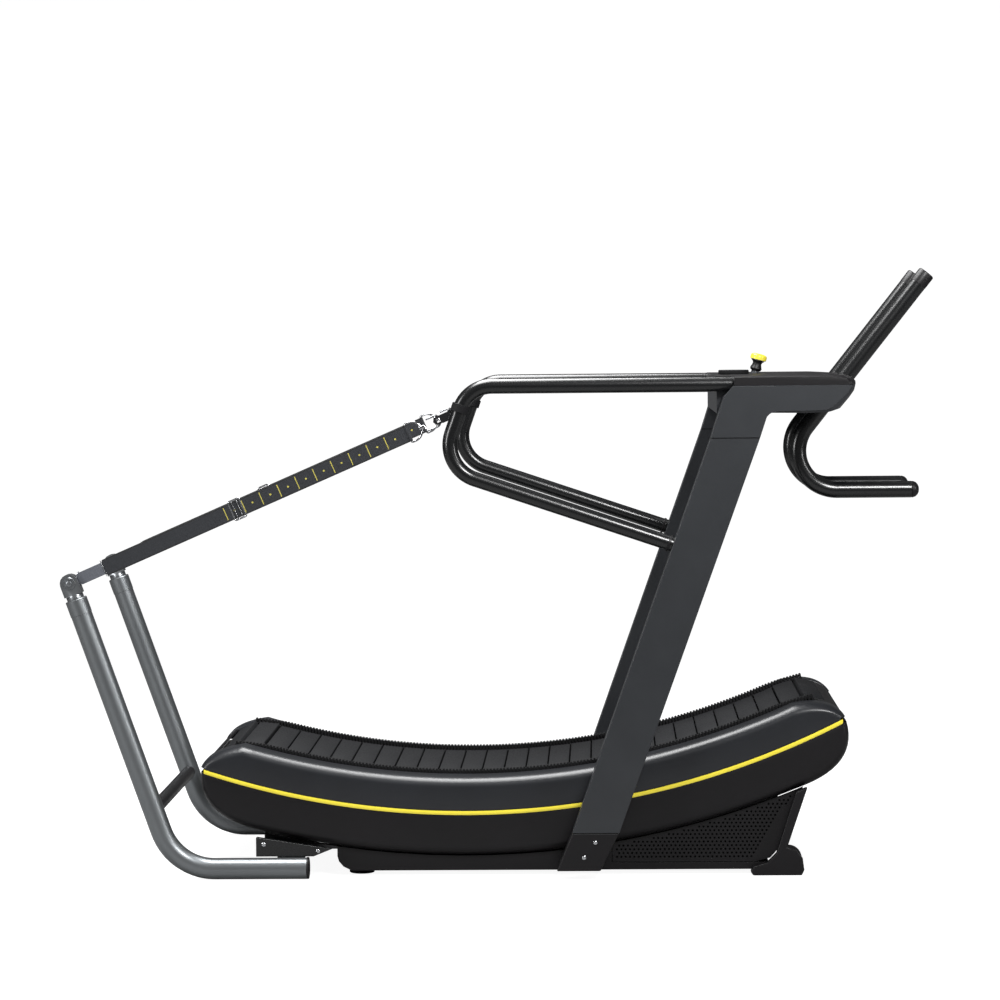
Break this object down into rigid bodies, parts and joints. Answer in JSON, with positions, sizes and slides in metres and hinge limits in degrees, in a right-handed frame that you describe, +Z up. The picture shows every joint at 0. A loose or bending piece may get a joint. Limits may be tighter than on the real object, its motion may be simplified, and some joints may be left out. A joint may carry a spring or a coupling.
{
  "type": "curved manual treadmill",
  "caption": "Curved manual treadmill: slat belt deck, leaning uprights, side handrails, forward handlebars, a resistance lever and rear pulling straps on bent posts.",
  "frame": {"origin": "centre of the footprint's bounding box, on the floor", "axes": "+X from the rear posts to the console, +Y to the left of somebody running towards the console, +Z up"},
  "size_m": [2.3239, 0.924, 1.6052],
  "materials": {
    "grey_plastic": "satin, dark grey",
    "black_plastic": "satin, near black",
    "yellow_trim": "yellow trim",
    "black_rubber": "matt, moulded",
    "gunmetal": "metallic gunmetal lacquer",
    "black_paint": "gloss black powder coat",
    "grey_paint": "satin grey powder coat",
    "chrome": "bright plated",
    "steel": "machined",
    "webbing": "woven webbing"
  },
  "bodies": {
    "frame": {"base_frame": "grey_paint", "belly_cover": "black_plastic", "bottle_holder": "black_rubber", "console_body": "grey_paint", "console_tray": "black_plastic", "cross_brace": "black_paint", "drive_belt": "black_rubber", "front_bearing_left": "steel", "front_bearing_right": "steel", "front_end_cover": "black_plastic", "front_foot_left": "black_plastic", "front_foot_right": "black_plastic", "grille_left": "black_plastic", "grille_right": "black_plastic", "handlebar_left": "black_paint", "handlebar_right": "black_paint", "handrail_left": "black_paint", "handrail_right": "black_paint", "lower_cover_left": "black_plastic", "lower_cover_right": "black_plastic", "rail_keeper_left": "webbing", "rail_keeper_right": "webbing", "rear_bracket": "black_paint", "rear_end_cover": "black_plastic", "rear_post_left": "gunmetal", "rear_post_right": "gunmetal", "slat_belt": "black_rubber", "stripe_left": "yellow_trim", "stripe_right": "yellow_trim", "track_rail_left": "grey_paint", "track_rail_right": "grey_paint", "upper_cover_left": "grey_plastic", "upper_cover_right": "grey_plastic", "upright_bar": "grey_paint", "upright_foot_left": "black_plastic", "upright_foot_right": "black_plastic", "upright_left": "grey_paint", "upright_right": "grey_paint"},
    "front_drum": {"front_drum": "steel"},
    "rear_drum": {"rear_drum": "steel"},
    "flywheel": {"flywheel": "steel"},
    "lever": {"resistance_lever": "grey_paint", "lever_cap": "yellow_trim"},
    "brake_arm": {"brake_arm": "grey_paint"},
    "wheel_left": {"transport_wheel_left": "black_rubber"},
    "foot_left": {"levelling_foot_left": "black_rubber"},
    "head_left": {"swivel_head_left": "gunmetal"},
    "strap_left": {"strap_left": "webbing"},
    "buckle_left": {"strap_buckle_left": "chrome"},
    "ring_left": {"d_ring_left": "chrome"},
    "hook_left": {"snap_hook_left": "chrome"},
    "gate_left": {"hook_gate_left": "chrome"},
    "wheel_right": {"transport_wheel_right": "black_rubber"},
    "foot_right": {"levelling_foot_right": "black_rubber"},
    "head_right": {"swivel_head_right": "gunmetal"},
    "strap_right": {"strap_right": "webbing"},
    "buckle_right": {"strap_buckle_right": "chrome"},
    "ring_right": {"d_ring_right": "chrome"},
    "hook_right": {"snap_hook_right": "chrome"},
    "gate_right": {"hook_gate_right": "chrome"}
  },
  "joints": [
    {"name": "front_drum_spin", "type": "hinge", "parent": "frame", "child": "front_drum", "pos_m": [0.81672, 0, 0.3749], "axis": [0, 1, 0], "continuous": true},
    {"name": "rear_drum_spin", "type": "hinge", "parent": "frame", "child": "rear_drum", "pos_m": [-0.69698, 0, 0.2604], "axis": [0, 1, 0], "continuous": true},
    {"name": "flywheel_spin", "type": "hinge", "parent": "frame", "child": "flywheel", "pos_m": [0.6, -0.243, 0.096], "axis": [0, 1, 0], "continuous": true},
    {"name": "resistance_lever_turn", "type": "hinge", "parent": "frame", "child": "lever", "pos_m": [0.683, 0.09, 1.285], "axis": [0, -1, 0], "range_deg": [0, 30]},
    {"name": "brake_arm_swing", "type": "hinge", "parent": "frame", "child": "brake_arm", "pos_m": [0.505, -0.243, 0.085], "axis": [0, -1, 0], "range_deg": [0, 7.5]},
    {"name": "wheel_right_spin", "type": "hinge", "parent": "frame", "child": "wheel_right", "pos_m": [0.757, -0.343, 0.0385], "axis": [0, 1, 0], "continuous": true},
    {"name": "levelling_foot_right_wind", "type": "slide", "parent": "frame", "child": "foot_right", "axis": [0, 0, 1], "range_m": [0, 0.006]},
    {"name": "head_right_turn", "type": "hinge", "parent": "frame", "child": "head_right", "pos_m": [-1.1225, -0.415, 0.7465], "axis": [-0.333, 0, 0.9429], "range_deg": [0, 15]},
    {"name": "strap_right_swing", "type": "hinge", "parent": "head_right", "child": "strap_right", "pos_m": [-1.13748, -0.415, 0.78893], "axis": [0, -1, 0], "range_deg": [0, 55]},
    {"name": "buckle_right_slide", "type": "slide", "parent": "strap_right", "child": "buckle_right", "axis": [0.9178, 0, 0.3972], "range_m": [-0.1, 0.1]},
    {"name": "ring_right_turn", "type": "hinge", "parent": "strap_right", "child": "ring_right", "pos_m": [-0.23946, -0.415, 1.17754], "axis": [-0.3972, 0, 0.9178], "range_deg": [0, 30]},
    {"name": "hook_right_turn", "type": "hinge", "parent": "ring_right", "child": "hook_right", "pos_m": [-0.20477, -0.415, 1.19255], "axis": [-0.3972, 0, 0.9178], "range_deg": [0, 30]},
    {"name": "gate_right_open", "type": "hinge", "parent": "hook_right", "child": "gate_right", "pos_m": [-0.19364, -0.415, 1.21317], "axis": [0, 1, 0], "range_deg": [0, 25], "stiffness_Nm_per_rad": 0.05, "springref_deg": -11.46},
    {"name": "wheel_left_spin", "type": "hinge", "parent": "frame", "child": "wheel_left", "pos_m": [0.757, 0.343, 0.0385], "axis": [0, 1, 0], "continuous": true},
    {"name": "levelling_foot_left_wind", "type": "slide", "parent": "frame", "child": "foot_left", "axis": [0, 0, 1], "range_m": [0, 0.006]},
    {"name": "head_left_turn", "type": "hinge", "parent": "frame", "child": "head_left", "pos_m": [-1.1225, 0.415, 0.7465], "axis": [0.333, 0, -0.9429], "range_deg": [0, 15]},
    {"name": "strap_left_swing", "type": "hinge", "parent": "head_left", "child": "strap_left", "pos_m": [-1.13748, 0.415, 0.78893], "axis": [0, -1, 0], "range_deg": [0, 55]},
    {"name": "buckle_left_slide", "type": "slide", "parent": "strap_left", "child": "buckle_left", "axis": [0.9178, 0, 0.3972], "range_m": [-0.1, 0.1]},
    {"name": "ring_left_turn", "type": "hinge", "parent": "strap_left", "child": "ring_left", "pos_m": [-0.23946, 0.415, 1.17754], "axis": [0.3972, 0, -0.9178], "range_deg": [0, 30]},
    {"name": "hook_left_turn", "type": "hinge", "parent": "ring_left", "child": "hook_left", "pos_m": [-0.20477, 0.415, 1.19255], "axis": [0.3972, 0, -0.9178], "range_deg": [0, 30]},
    {"name": "gate_left_open", "type": "hinge", "parent": "hook_left", "child": "gate_left", "pos_m": [-0.19364, 0.415, 1.21317], "axis": [0, 1, 0], "range_deg": [0, 25], "stiffness_Nm_per_rad": 0.05, "springref_deg": -11.46}
  ],
  "couplings": [
    {"joint": "rear_drum_spin", "follows": "front_drum_spin", "ratio": 1},
    {"joint": "flywheel_spin", "follows": "front_drum_spin", "ratio": 2.25},
    {"joint": "brake_arm_swing", "follows": "resistance_lever_turn", "ratio": 0.25}
  ]
}
